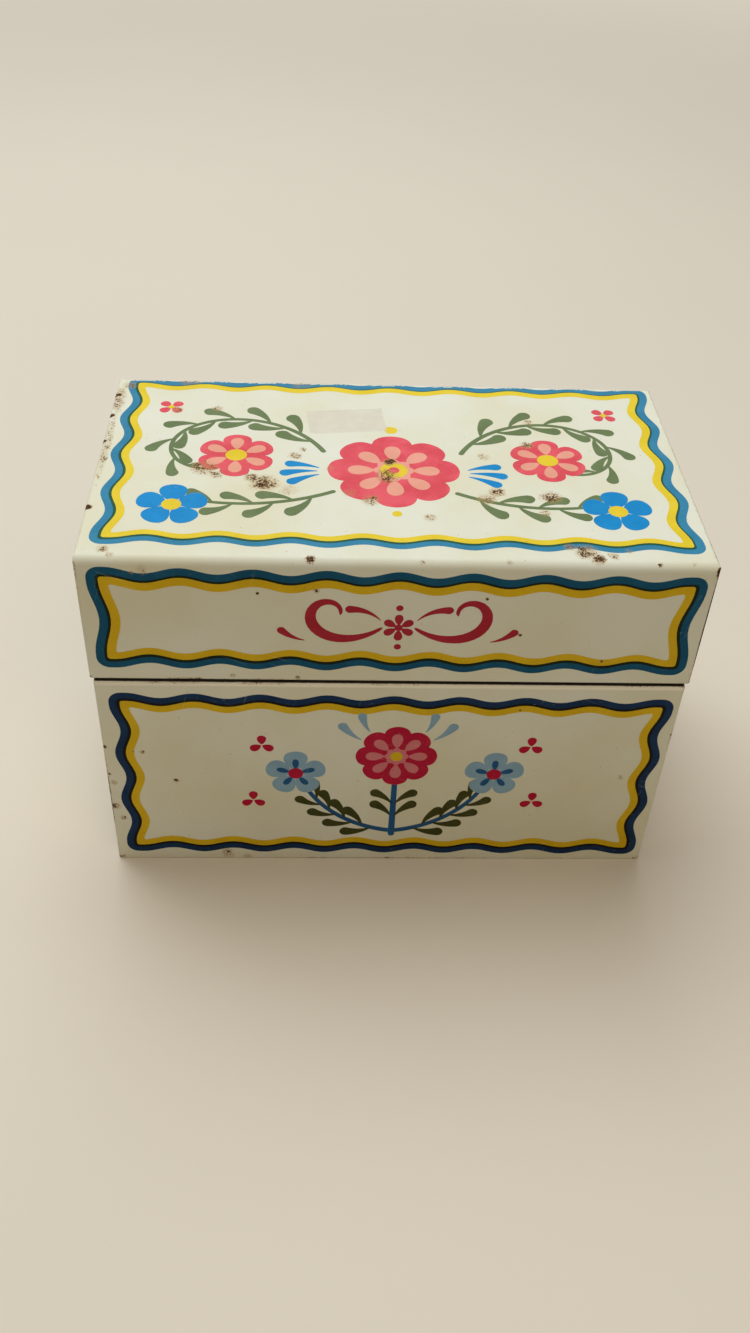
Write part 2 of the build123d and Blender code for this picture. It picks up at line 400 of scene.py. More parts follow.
BODY_FRONT_SCUFFS = (
    (16.5, 28.8, 1.3, 1.0), (9.2, 38.4, 1.3, 0.74), (7.0, 38.6, 0.8, 0.74), (0.5, 40.0, 1.1, 1.10),
    (0.8, 30.8, 1.0, 0.84), (1.6, 28.0, 1.8, 0.72), (1.2, 19.6, 2.4, 0.82), (2.6, 15.4, 1.6, 0.72),
    (28.0, 1.8, 4.0, 0.70), (33.0, 0.6, 2.4, 0.76), (97.5, 53.0, 0.7, 0.95), (125.0, 30.7, 2.0, 0.56),
)


def round_scuffs(node: str, rows: Sequence[tuple[float, ...]], on_top: bool = False) -> list[Scuff]:
    """Round scuffs on a part's front or top.

    Args:
        node: The part's name.
        rows: The scuffs, as in the tables above.
        on_top: Whether they are on its top.

    Returns:
        The scuffs.
    """
    low, high = millimetres(node)
    made = []
    for across, along, size, strength in rows:
        inward, up = (along, high.z) if on_top else (0.0, low.z + along)
        made.append(Scuff((low.x + across, low.y + inward, up), (size, size, size), strength))
    return made


def lid_scuffs() -> list[Scuff]:
    """The worn places of the lid: round ones, then its left margin, its upright edges, its feet and hem; the
    line down its front right edge is rust and painted shade.
    """
    low, high = millimetres("lid_shell")
    return [
        *round_scuffs("lid_shell", LID_TOP_SCUFFS, True),
        *round_scuffs("lid_shell", LID_FRONT_SCUFFS),
        Scuff((low.x + 1.2, 6.0, high.z), (2.3, 36.0, 1.2), 0.64),
        Scuff((low.x + 1.4, 27.0, high.z), (3.2, 13.0, 1.6), 0.74),
        Scuff((low.x, low.y, high.z - 10.0), (1.2, 1.2, 16.0), 0.62),
        Scuff((high.x, low.y, high.z - 1.0), (1.4, 1.4, 4.2), 1.5),
        # Rust and painted shade: a solid dark line down the front right edge.
        Scuff((high.x, low.y, high.z - 16.0), (0.72, 0.72, 24.0), 2.9),
        Scuff((high.x, low.y, low.z), (1.6, 1.6, 1.6), 0.95),
        Scuff((low.x, low.y, low.z), (1.6, 1.6, 1.8), 1.0),
        Scuff((-30.0, low.y, low.z), (50.0, 0.8, 0.7), 0.62),
    ]


def body_scuffs() -> list[Scuff]:
    """The worn places of the body: round ones, then its front edges, its feet, its foot line and its rim;
    the line down its front right edge is rust and painted shade.
    """
    low, high = millimetres("body_wall")
    return [
        *round_scuffs("body_wall", BODY_FRONT_SCUFFS),
        Scuff((low.x, low.y, 24.0), (0.75, 0.75, 30.0), 1.25),
        # Rust and painted shade: a dark line down the front right edge.
        Scuff((high.x, low.y, 30.0), (0.6, 0.6, 44.0), 1.0),
        Scuff((low.x, low.y, 0.0), (4.0, 3.0, 3.0), 0.84),
        Scuff((high.x, low.y, 0.0), (4.0, 4.0, 3.0), 0.80),
        Scuff((0.0, low.y, 0.0), (70.0, 0.9, 1.0), 0.72),
        Scuff((high.x - 12.0, low.y, high.z), (14.0, 0.8, 0.8), 0.60),
    ]


# Finishes

RUST_DARK = (46, 34, 26)
RUST_BROWN = (124, 84, 50)
VARNISH = {"Specular IOR Level": 0.07, "Coat Weight": 0.04, "Coat Roughness": 0.16}
# The films over fresh paint, from the lowest up: each one's kind of wear, weight, colour and blend.
FILMS = (
    ("Stain", 0.30, (244, 236, 214), "MULTIPLY"),
    ("Tape", 0.74, (205, 196, 182), "MIX"),
    ("Scratch", 0.09, (232, 230, 220), "MIX"),
    ("Speck", 0.45, (104, 88, 70), "MIX"),
    ("Grime", 0.34, (168, 142, 100), "MIX"),
    ("Halo", 0.54, (186, 146, 88), "MIX"),
)


def rust(graph: Graph) -> Socket:
    """The mottled colour of rust."""
    mottle = graph.ramp(graph.noise(1.6, 4.0, 0.6), 0.42, 0.64)
    return graph.mix(mottle, linear(RUST_DARK), linear(RUST_BROWN))


@dataclass(frozen=True)
class Printed:
    """Printed and varnished tin: the paint or ink of one colour, with the part's wear through it."""

    wear: Wear
    roughness: float = 0.30
    rubbed_roughness: float = 0.46
    rust_roughness: float = 0.85
    ripple: float = 0.006
    chip_depth: float = 0.05
    pit_depth: float = 0.03

    def aged(self, graph: Graph, colour: Socket) -> tuple[Socket, Socket, Socket]:
        """Age a fresh colour.

        Args:
            graph: The material's graph.
            colour: The fresh colour.

        Returns:
            The aged colour, its roughness and its height in millimetres.
        """
        worn = self.wear.read(graph)
        for name, weight, film, blend in FILMS:
            colour = graph.mix(graph.times(worn[name], weight), colour, linear(film), blend)
        colour = graph.mix(worn["Chip"], colour, rust(graph))
        smear = graph.ramp(graph.noise(0.05, 4.0, 0.6), 0.34, 0.70, self.roughness, self.roughness + 0.06)
        dulled = graph.join("MAXIMUM", [worn[name] for name in ("Scratch", "Halo", "Tape")])
        rough = graph.blend(dulled, smear, self.rubbed_roughness)
        rough = graph.blend(worn["Chip"], rough, self.rust_roughness)
        ripple = graph.times(graph.noise(0.9, 2.0), self.ripple)
        pitted = graph.times(graph.noise(2.2, 3.0), graph.times(worn["Chip"], self.pit_depth))
        height = graph.minus(ripple, graph.times(worn["Chip"], self.chip_depth))
        return colour, rough, graph.plus(height, pitted)


@dataclass(frozen=True)
class Ink:
    """One printing ink: its name, its colour and how far its cover varies."""

    name: str
    colour: Triple
    variation: float = 0.05

    def material(self, printed: Printed, part: str) -> Material:
        """The ink as a material on one part.

        Args:
            printed: How the part's print ages.
            part: The part's name, lid or body.

        Returns:
            The material, made once for each part.
        """
        name = f"{part}_ink_{self.name}"
        known = bpy.data.materials.get(name)
        if known:
            return known
        graph = Surface(name)
        thin = linear(tuple(value + (255 - value) * self.variation for value in self.colour))
        deep = linear(tuple(value * (1 - 0.7 * self.variation) for value in self.colour))
        cover = graph.ramp(graph.noise(0.16, 4.0, 0.62), 0.36, 0.66)
        grain = graph.ramp(graph.noise(3.2, 2.0, 0.5), 0.35, 0.65)
        weight = graph.plus(graph.times(cover, 0.7), graph.times(grain, 0.3))
        colour, rough, height = printed.aged(graph, graph.mix(weight, deep, thin))
        return graph.shaded({**VARNISH, "Base Color": colour, "Roughness": rough}, height)


@dataclass(frozen=True)
class BareTin:
    """Plain tinplate: bright rolled metal, clouded and flecked with age.

    Its last field holds the heights between which a seam in a gap is darkened by dust and by painted shade,
    if any.
    """

    name: str
    bright: Triple = (188, 185, 175)
    dull: Triple = (152, 146, 132)
    roughness: float = 0.42
    grain: Triple = (0.04, 1.4, 1.4)
    rust_from: float = 0.71
    gap_dust_and_shade: Point | None = None

    def _dusted_and_shaded(self, graph: Graph, colour: Socket, metal: Socket) -> tuple[Socket, Socket]:
        """Darken the metal in its band with dust and painted shade.

        Args:
            graph: The material's graph.
            colour: The clean metal's colour.
            metal: Its metal share.

        Returns:
            The darkened colour and metal share.
        """
        middle = (self.gap_dust_and_shade[0] + self.gap_dust_and_shade[1]) / 2
        reach = (self.gap_dust_and_shade[1] - self.gap_dust_and_shade[0]) / 2
        off = graph.math("ABSOLUTE", graph.minus(graph.parts(graph.place)["Z"], middle))
        off = graph.plus(off, graph.times(graph.noise(0.7, 3.0), 0.6))
        gap_dust_and_shade = graph.ramp(off, reach + 0.6, reach, 0.0, 0.94)
        return graph.mix(gap_dust_and_shade, colour, linear(RUST_DARK)), graph.times(metal, graph.minus(1.0, gap_dust_and_shade))

    def metal(self, graph: Graph) -> tuple[Socket, Socket, Socket, Socket]:
        """The metal's look.

        Args:
            graph: The material's graph.

        Returns:
            Its colour, its metal share, its roughness and its height in millimetres.
        """
        stretched = graph.add("ShaderNodeMapping", {"Vector": graph.place, "Scale": self.grain}).outputs[0]
        rolled = graph.noise(1.0, 3.0, 0.6, stretched)
        cloud = graph.ramp(graph.noise(0.05, 5.0, 0.62), 0.36, 0.68)
        colour = graph.mix(cloud, linear(self.bright), linear(self.dull))
        fleck = graph.ramp(graph.noise(0.33, 6.0, 0.7), self.rust_from, self.rust_from + 0.05)
        colour = graph.mix(fleck, colour, rust(graph))
        metal = graph.minus(1.0, graph.times(fleck, 0.9))
        # Dust and painted shade where the metal lies in a gap.
        if self.gap_dust_and_shade:
            colour, metal = self._dusted_and_shaded(graph, colour, metal)
        rough = graph.ramp(rolled, 0.3, 0.7, self.roughness - 0.07, self.roughness + 0.12)
        rough = graph.plus(rough, graph.times(cloud, 0.10))
        return colour, metal, rough, graph.times(rolled, 0.004)

    def material(self) -> Material:
        """The metal as a material of its own."""
        graph = Surface(self.name)
        colour, metal, rough, height = self.metal(graph)
        return graph.shaded({"Base Color": colour, "Metallic": metal, "Roughness": rough}, height)


@dataclass(frozen=True)
class PrintedShell:
    """A folded tin part that is painted cream outside and over its hems, and is plain tin inside.

    bare holds the heights between which its inner side is bare; the next pair those between which its hem is
    darkened, by dirt and by painted shade where it meets the gap to the other part, the first of them the
    cleaner; and the last pair those between which the rolled rim has its bump and a painted highlight, a
    lighter cream.
    """

    name: str
    block: TinBlock
    bare: Point
    gap_dirt_and_shade: Point
    highlight_roll: Point | None = None
    cream: Triple = (220, 220, 204)
    # A painted highlight: the lighter cream that the rolled rim's band takes.
    painted_highlight_cream: Triple = (255, 250, 230)
    warm_share: Triple = (0.985, 0.970, 0.925)
    roll_drop: float = 0.70
    sheet: float = 0.35

    def _bare_side(self, graph: Graph, level: Socket) -> Socket:
        """Where the part's unpainted inner side is.

        Args:
            graph: The material's graph.
            level: The height of the shaded spot.

        Returns:
            A socket that is 1 on bare metal.
        """
        inner = graph.math("GREATER_THAN", self.block.depth(graph), self.sheet / 2)
        over = graph.math("GREATER_THAN", level, self.bare[0])
        return graph.times(inner, over, graph.math("LESS_THAN", level, self.bare[1]))

    def material(self, printed: Printed) -> Material:
        """The whole part's material.

        Args:
            printed: How its paint ages.

        Returns:
            The material.
        """
        graph = Surface(self.name)
        level = graph.parts(graph.place)["Z"]
        warm = tuple(value * share for value, share in zip(self.cream, self.warm_share))
        cloud = graph.ramp(graph.noise(0.03, 4.0, 0.55), 0.38, 0.66)
        tone = graph.mix(cloud, linear(self.cream), linear(warm))
        ragged = graph.plus(level, graph.times(graph.noise(0.8, 3.0), 0.12))
        # Painted highlight: a lighter cream on the rolled rim's band, beside the bump that tilts it below.
        if self.highlight_roll:
            rolled = graph.ramp(ragged, self.highlight_roll[0], self.highlight_roll[0] + 0.7)
            tone = graph.mix(rolled, tone, linear(self.painted_highlight_cream))
        paint, rough, height = printed.aged(graph, tone)
        if self.highlight_roll:
            height = graph.plus(height, graph.ramp(level, *self.highlight_roll, 0.0, -self.roll_drop))
        # Dirt and painted shade: darker at the hem where it meets the gap between lid and body.
        paint = graph.mix(graph.ramp(ragged, *self.gap_dirt_and_shade, 0.0, 0.96), paint, linear(RUST_DARK))
        tin, metal, tin_rough, tin_height = BareTin("inner_tin").metal(graph)
        bare = self._bare_side(graph, level)
        feeds = {
            "Base Color": graph.mix(bare, paint, tin),
            "Metallic": graph.times(bare, metal),
            "Roughness": graph.blend(bare, rough, tin_rough),
        }
        return graph.shaded({**VARNISH, **feeds}, graph.blend(bare, height, tin_height))


# Panels and print shapes


class Side(Enum):
    """The five printed sides, each with its right-hand and its upward direction seen from outside."""

    TOP = ((1, 0, 0), (0, 1, 0))
    FRONT = ((1, 0, 0), (0, 0, 1))
    BACK = ((-1, 0, 0), (0, 0, 1))
    LEFT = ((0, -1, 0), (0, 0, 1))
    RIGHT = ((0, 1, 0), (0, 0, 1))


@dataclass(frozen=True)
class Panel:
    """One printed side of a part, with the radii of the folds at its left, right, lower and upper edges."""

    body: str
    node: str
    side: Side
    folds: Edges

    def axes(self) -> list[tuple[Vector, float, float]]:
        """The panel's directions.

        Returns:
            Its right-hand, upward and outward directions, each with the part's two ends along it.
        """
        right, up = (Vector(way) for way in self.side.value)
        corners = millimetres(self.node)
        return [(way, *sorted(end.dot(way) for end in corners)) for way in (right, up, right.cross(up))]

    @property
    def size(self) -> Point:
        """The panel's width and height."""
        (_, left, right), (_, foot, head), _ = self.axes()
        return right - left, head - foot

    @staticmethod
    def _wrap(along: float, lift: float, length: float, first: float, last: float) -> Point:
        """Carry a point of the flat print round the fold at either end.

        Args:
            along: The point's distance from the panel's start, on the flat print.
            lift: Its height over the print's underside.
            length: The panel's length.
            first: The fold's radius at the start.
            last: The fold's radius at the end.

        Returns:
            The point's distance from the start and its height over the panel.
        """
        if along < first:
            turn = (first - along) / first
            return first - (first + lift) * math.sin(turn), (first + lift) * math.cos(turn) - first
        if along > length - last:
            turn = (along - length + last) / last
            return length - last + (last + lift) * math.sin(turn), (last + lift) * math.cos(turn) - last
        return along, lift

    def place(self, flat: Vector) -> Vector:
        """Where a point of the flat print lies on the part.

        Args:
            flat: The point: right, up and lift, from the panel's lower left corner.

        Returns:
            Its place in the frame, in metres.
        """
        (right, left_end, _), (up, foot, _), (outward, _, face) = self.axes()
        width, height = self.size
        across, drop = self._wrap(flat.x, flat.z, width, *self.folds[:2])
        level, rise = self._wrap(flat.y, flat.z, height, *self.folds[2:])
        start = right * left_end + up * foot + outward * face
        return (start + right * across + up * level + outward * (drop + rise - flat.z)) * MM


class Shape(Enum):
    """How a brush stroke's width changes along it."""

    COMMA = "comma"
    PETAL = "petal"
    VINE = "vine"
    SWASH = "swash"

    def width(self, along: float, blunt: float) -> float:
        """The stroke's relative width.

        Args:
            along: How far along the stroke, 0 to 1.
            blunt: The share of its length that its round end takes.

        Returns:
            The width from 0 to 1.
        """
        tip = max(0.0, (along - 1 + blunt) / blunt)
        round_end = math.sqrt(max(0.0, 1 - tip * tip))
        if self is Shape.COMMA:
            return (0.10 + 0.90 * min(1.0, along / (1 - blunt)) ** 1.1) * round_end
        if self is Shape.PETAL:
            return math.sqrt(max(0.0, 1 - (2 * along**1.5 - 1) ** 2))
        start = max(0.0, (blunt - along) / blunt)
        round_start = math.sqrt(max(0.0, 1 - start * start))
        if self is Shape.SWASH:
            return (0.30 + 0.70 * math.sin(math.pi * along) ** 1.3) * round_end * round_start
        return (1 - 0.25 * along) * round_end * round_start


@dataclass(frozen=True)
class Stroke:
    """A brush stroke: where it starts, which way it sets off in degrees, its length and its width.

    bend is how far it turns along its whole length, and curl is a further turn that gathers near its end.
    """

    start: Point
    heading: float
    length: float
    width: float
    bend: float = 0.0
    curl: float = 0.0
    shape: Shape = Shape.COMMA

    def mirrored(self, middle: float) -> "Stroke":
        """The same stroke on the other side of an upright line."""
        start = (2 * middle - self.start[0], self.start[1])
        return Stroke(start, 180 - self.heading, self.length, self.width, -self.bend, -self.curl, self.shape)

    def turned(self, along: float) -> float:
        """The way that the stroke points at a share of its length, in degrees."""
        return self.heading + self.bend * along + self.curl * along**3

    def route(self, shares: Sequence[float]) -> list[tuple[Vector, Vector]]:
        """The stroke's middle line.

        Args:
            shares: How far along it the wanted points lie, each from 0 to 1.

        Returns:
            Each point with the direction across the stroke there.
        """
        pieces = 160
        line = []
        here = Vector(self.start)
        for piece in range(pieces + 1):
            turn = math.radians(self.turned(piece / pieces))
            line.append((here.copy(), Vector((-math.sin(turn), math.cos(turn)))))
            ahead = math.radians(self.turned((piece + 0.5) / pieces))
            here += Vector((math.cos(ahead), math.sin(ahead))) * (self.length / pieces)
        return [line[round(share * pieces)] for share in shares]


@dataclass(frozen=True)
class Sprig:
    """A stem with comma leaves on its two sides in turn.

    first and last are the shares of the stem between which the leaves grow. spread is the angle at which
    a leaf leaves the stem, and hook how far it then bends back, in degrees.
    """

    stem: Stroke
    leaves: int
    first: float
    last: float
    length: float
    width: float
    spread: float = 50.0
    hook: float = 46.0
    taper: float = 0.22

    def strokes(self) -> list[Stroke]:
        """The sprig's leaves, smaller towards the stem's tip.

        Returns:
            Each leaf as a stroke.
        """
        step = (self.last - self.first) / (self.leaves - 1)
        shares = [self.first + step * index for index in range(self.leaves)]
        made = []
        for index, (share, (point, _)) in enumerate(zip(shares, self.stem.route(shares))):
            side = 1 if index % 2 else -1
            size = 1 - self.taper * share
            heading = self.stem.turned(share) + side * self.spread
            leaf = Stroke(tuple(point), heading, self.length * size, self.width * size, -side * self.hook)
            made.append(leaf)
        return made


@dataclass
class Print:
    """One printed piece: flat shapes of ink, each a thin closed plate on its panel."""

    name: str
    panel: Panel
    printed: Printed
    slot: str
    base_lift: float = 0.012
    layer_lift: float = 0.010
    shape_lift: float = 0.0007
    lift_cycle: int = 11
    sunk: float = 0.02
    least_width: float = 0.03
    inks: list[Ink] = field(default_factory=list)
    mesh: bmesh.types.BMesh = field(default_factory=bmesh.new)
    shapes: int = 0

    def plate(self, made: Sequence[bmesh.types.BMVert], ink: Ink, layer: int) -> None:
        """Give a new flat shape its ink and its thickness, a little over that of the shape before it.

        Args:
            made: Its corners, flat at height 0.
            ink: Its ink.
            layer: How many inks lie under it.
        """
        around = (face for vertex in made if vertex.is_valid for face in vertex.link_faces)
        faces = list(dict.fromkeys(around))
        if ink not in self.inks:
            self.inks.append(ink)
        for face in faces:
            face.material_index = self.inks.index(ink)
        self.shapes += 1
        lift = self.base_lift + self.layer_lift * layer + self.shape_lift * (self.shapes % self.lift_cycle)
        lower = list(dict.fromkeys(vertex for face in faces for vertex in face.verts))
        risen = bmesh.ops.extrude_face_region(self.mesh, geom=faces, use_keep_orig=True)["geom"]
        upper = [item for item in risen if isinstance(item, bmesh.types.BMVert)]
        bmesh.ops.translate(self.mesh, verts=upper, vec=(0, 0, lift))
        bmesh.ops.translate(self.mesh, verts=lower, vec=(0, 0, -self.sunk))

    def stroke(self, stroke: Stroke, ink: Ink, layer: int = 0) -> None:
        """Print one brush stroke.

        Args:
            stroke: The stroke.
            ink: Its ink.
            layer: How many inks lie under it.
        """
        steps = max(14, round(stroke.length * 1.4))
        shares = [(1 - math.cos(math.pi * step / steps)) / 2 for step in range(steps + 1)]
        route = stroke.route(shares)
        blunt = min(0.5, stroke.width / 2 / stroke.length)
        made = bmesh.ops.create_grid(self.mesh, x_segments=steps, y_segments=1, size=1.0)["verts"]
        for vertex in made:
            index = round((vertex.co.x + 1) / 2 * steps)
            middle, across = route[index]
            reach = max(self.least_width, stroke.shape.width(shares[index], blunt)) * stroke.width / 2
            vertex.co = (middle + across * vertex.co.y * reach).to_3d()
        self.plate(made, ink, layer)

    def pairs(self, strokes: Sequence[Stroke], middle: float, ink: Ink, layer: int = 0) -> None:
        """Print strokes, and then their mirror images about an upright line, all in one ink and layer."""
        for stroke in (*strokes, *(stroke.mirrored(middle) for stroke in strokes)):
            self.stroke(stroke, ink, layer)

    def flower(self, centre: Point, layer: int, *rings: tuple["Disc | Petals", Ink]) -> None:
        """Print spots and rings of petals about one middle, each over the one before, from a layer up."""
        for over, (ring, ink) in enumerate(rings, layer):
            ring.draw(self, centre, ink, over)

    def finish(self) -> None:
        """Lay the print on its panel as a finished piece."""
        for vertex in self.mesh.verts:
            vertex.co = self.panel.place(vertex.co)
        bmesh.ops.remove_doubles(self.mesh, verts=self.mesh.verts[:], dist=2e-7)
        bmesh.ops.recalc_face_normals(self.mesh, faces=self.mesh.faces[:])
        data = bpy.data.meshes.new(self.name)
        self.mesh.to_mesh(data)
        self.mesh.free()
        for ink in self.inks:
            data.materials.append(ink.material(self.printed, self.panel.body))
        piece = added(self.name, data)
        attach(piece, self.panel.body)
        log.info("%s: %d faces", self.name, len(data.polygons))


@dataclass(frozen=True)
class Disc:
    """A round spot, with a scalloped rim if it has lobes, whose depth is a share of its radius."""

    radius: float
    lobes: int = 0
    depth: float = 0.0
    turn: float = 0.0

    def draw(self, target: Print, centre: Point, ink: Ink, layer: int) -> None:
        """Print the spot.

        Args:
            target: The print to draw on.
            centre: Its middle.
            ink: Its ink.
            layer: How many inks lie under it.
        """
        segments = max(24, self.lobes * 12, 6 * round(self.radius))
        made = bmesh.ops.create_circle(target.mesh, cap_ends=True, radius=1.0, segments=segments)["verts"]
        for vertex in made:
            angle = math.atan2(vertex.co.y, vertex.co.x)
            swell = 1 - self.depth * (1 - abs(math.sin(angle * self.lobes / 2))) if self.lobes else 1.0
            spot = angle + math.radians(self.turn)
            ray = Vector((math.cos(spot), math.sin(spot), 0))
            vertex.co = Vector((*centre, 0)) + ray * self.radius * swell
        target.plate(made, ink, layer)


@dataclass(frozen=True)
class Petals:
    """A ring of petals: how many, how far out they start, their length and width, and where the first is."""

    count: int
    near: float
    length: float
    width: float
    turn: float = 90.0

    def draw(self, target: Print, centre: Point, ink: Ink, layer: int) -> None:
        """Print the ring.

        Args:
            target: The print to draw on.
            centre: Its middle.
            ink: Its ink.
            layer: How many inks lie under it.
        """
        for index in range(self.count):
            heading = self.turn + 360 * index / self.count
            ray = Vector((math.cos(math.radians(heading)), math.sin(math.radians(heading))))
            start = tuple(Vector(centre) + ray * self.near)
            target.stroke(Stroke(start, heading, self.length, self.width, shape=Shape.PETAL), ink, layer)


@dataclass(frozen=True)
class Bands:
    """The bands of a double border, from its outer line inward: blue, a thin overlap and yellow.

    inks and widths are those of each band, and slip is how far the yellow was printed off its place.
    """

    inks: tuple[Ink, Ink, Ink]
    widths: Triple
    slip: Point = (0.0, 0.0)


@dataclass(frozen=True)
class WavyBorder:
    """A frame of two wavy lines with a thin dark line where they overlap.

    margins are its distances from the panel's left, right, lower and upper edges, waves and swings are how
    often and how far its level and its upright lines swing, and turn is how far the whole print is turned,
    in degrees.
    """

    margins: Edges
    waves: tuple[int, int]
    swings: Point
    bands: Bands
    turn: float = 0.0
    corner: float = 2.9
    corner_run: float = 4.0
    inner_corner: float = 0.7
    points_to_wave: int = 14
    points_to_corner: int = 7
    rows: tuple[int, int, int] = (3, 1, 2)

    def _push(self, along: float, length: float, waves: int, swing: float) -> float:
        """How far the wave swings inward at a distance along one side."""
        share = (along - self.corner_run) / (length - 2 * self.corner_run)
        return swing * (1 - math.cos(2 * math.pi * waves * share)) if 0 < share < 1 else 0.0

    def _walk(self, size: Point, inset: float) -> Iterator[Vector]:
        """The points of one closed line of the border, inset from its outer line.

        Args:
            size: The outer line's width and height.
            inset: How far inside it this line runs.

        Yields:
            Each point from the outer line's lower left corner, going round to the right first.
        """
        corner = max(self.corner - inset, self.inner_corner)
        ways = [Vector(way) for way in ((1, 0), (0, 1), (-1, 0), (0, -1))]
        middle = Vector((size[0] / 2, size[1] / 2))
        for index, ahead in enumerate(ways):
            outward = ways[index - 1]
            axis = index % 2
            length, waves, swing = size[axis], self.waves[axis], self.swings[axis]
            straight = length / 2 - inset - corner
            edge = size[1 - axis] / 2 - inset
            count = self.points_to_wave * waves
            for step in range(count):
                along = -straight + 2 * straight * step / count
                push = self._push(along + length / 2, length, waves, swing)
                yield middle + ahead * along + outward * (edge - push)
            centre = middle + ahead * straight + outward * (edge - corner)
            for step in range(self.points_to_corner):
                turn = math.pi / 2 * step / self.points_to_corner
                yield centre + (outward * math.cos(turn) + ahead * math.sin(turn)) * corner

    def draw(self, target: Print) -> None:
        """Print the border.

        Args:
            target: The print to draw on.
        """
        left, right, lower, upper = self.margins
        width, height = target.panel.size
        size = (width - left - right, height - lower - upper)
        start = Vector((left, lower))
        middle = Vector((left + size[0] / 2, lower + size[1] / 2, 0.0))
        turn = Matrix.Rotation(math.radians(self.turn), 3, "Z")
        edges = [0.0, *accumulate(self.bands.widths)]
        slips = ((0.0, 1.0), (1.0, 0.0), (0.0, 1.0))
        bands = zip(self.bands.inks, edges, edges[1:], slips, self.rows)
        for ink, outer, inner, (first, last), rows in bands:
            lines = []
            for row in range(rows + 1):
                share = row / rows
                shift = Vector(self.bands.slip) * (first + (last - first) * share)
                inset = outer + (inner - outer) * share
                lines.append([spot + shift for spot in self._walk(size, inset)])
            count = len(lines[0])
            made = bmesh.ops.create_grid(target.mesh, x_segments=count, y_segments=rows, size=1.0)["verts"]
            for vertex in made:
                column = round((vertex.co.x + 1) / 2 * count) % count
                row = round((vertex.co.y + 1) / 2 * rows)
                spot = (lines[row][column] + start).to_3d()
                vertex.co = middle + turn @ (spot - middle)
            bmesh.ops.remove_doubles(target.mesh, verts=made, dist=1e-4)
            target.plate(made, ink, 0)


# The print of each part

# Painted light: the top's yellow is a lighter copy of the print's yellow, with the sheen of the top's light
# painted in; the yellow of the other sides is a darker copy, with painted shade.
LIT_TOP_YELLOW = Ink("lit_top_yellow", (226, 198, 44))
SHADED_YELLOW = Ink("yellow", (213, 175, 14))
CORAL = Ink("coral", (224, 76, 90), 0.10)
PINK = Ink("pink", (230, 158, 138))
SKY = Ink("sky_blue", (12, 132, 200))
OLIVE = Ink("olive", (100, 118, 78))
RED = Ink("red", (166, 30, 48))
CRIMSON = Ink("crimson", (180, 8, 50))
ROSE = Ink("rose", (206, 116, 122))
SLATE = Ink("slate_blue", (132, 166, 190))
DEEP_BLUE = Ink("deep_blue", (24, 80, 132))
DARK_OLIVE = Ink("dark_olive", (58, 60, 16))

# Painted light: the top's border inks are lit copies with a painted sheen, and the lid's other border inks
# are darker, shaded copies of the same print.
LIT_TOP_INKS = (Ink("lit_top_blue", (44, 124, 162)), Ink("lit_top_green", (22, 78, 58)), LIT_TOP_YELLOW)
SHADED_LID_INKS = (Ink("blue", (2, 76, 110)), Ink("green", (10, 28, 8), 0.03), SHADED_YELLOW)
BODY_INKS = (Ink("navy", (4, 40, 80)), Ink("soot", (8, 8, 4), 0.02), SHADED_YELLOW)
TOP_BANDS = Bands(LIT_TOP_INKS, (1.9, 0.55, 1.95), (-0.10, -0.20))
LID_BANDS = Bands(SHADED_LID_INKS, (1.8, 0.7, 1.95), (0.06, -0.10))
BODY_BANDS = Bands(BODY_INKS, (1.75, 0.75, 1.95))


def twins(across: float, up: float, middle: float) -> tuple[Point, Point]:
    """A point and its mirror image about an upright line."""
    return (across, up), (2 * middle - across, up)


@dataclass
class PartPrint:
    """The print of one part: a border on each side, to which each part adds its pictures.

    sides holds each side's folds, left, right, lower and upper, and its border.
    """

    printed: Printed
    body: str = ""
    node: str = ""
    sides: dict[Side, tuple[Edges, WavyBorder]] = field(default_factory=dict)

    def sheet(self, side: Side, name: str) -> Print:
        """A new print on one side."""
        panel = Panel(self.body, self.node, side, self.sides[side][0])
        return Print(
            f"{self.body}_{side.name.lower()}_{name}", panel, self.printed, f"printed_tin_{self.body}"
        )

    def borders(self) -> None:
        """Print the border on every side."""
        for side, (_, border) in self.sides.items():
            target = self.sheet(side, "border")
            border.draw(target)
            target.finish()


TOP_FOLDS = (0.8, 0.8, 2.1, 2.1)
LONG_FOLDS = (0.8, 0.8, 0.3, 2.1)
END_FOLDS = (0.8, 0.8, 0.3, 0.8)
BODY_FOLDS = (0.8, 0.8, 0.3, 0.7)
LID_SIDES = {
    Side.TOP: (TOP_FOLDS, WavyBorder((2.6, 1.7, 4.9, 0.9), (8, 4), (0.72, 1.0), TOP_BANDS, -0.25)),
    Side.FRONT: (LONG_FOLDS, WavyBorder((2.3, 2.0, 3.0, 2.4), (8, 1), (0.76, 0.86), LID_BANDS, -0.28)),
    Side.BACK: (LONG_FOLDS, WavyBorder((2.2, 2.2, 4.2, 2.4), (8, 1), (0.76, 0.86), LID_BANDS)),
    Side.LEFT: (END_FOLDS, WavyBorder((2.4, 2.4, 3.0, 2.4), (4, 1), (0.76, 0.80), LID_BANDS)),
    Side.RIGHT: (END_FOLDS, WavyBorder((2.4, 2.4, 3.0, 2.4), (4, 1), (0.76, 0.80), LID_BANDS)),
}
BODY_SIDES = {
    Side.FRONT: (BODY_FOLDS, WavyBorder((2.75, 1.7, 2.4, 3.8), (8, 3), (0.75, 0.95), BODY_BANDS, -0.28)),
    Side.BACK: (BODY_FOLDS, WavyBorder((2.3, 2.3, 2.4, 3.8), (8, 3), (0.75, 0.95), BODY_BANDS)),
    Side.LEFT: (BODY_FOLDS, WavyBorder((2.4, 2.4, 2.4, 3.8), (4, 3), (0.75, 0.90), BODY_BANDS)),
    Side.RIGHT: (BODY_FOLDS, WavyBorder((2.4, 2.4, 2.4, 3.8), (4, 3), (0.75, 0.90), BODY_BANDS)),
}


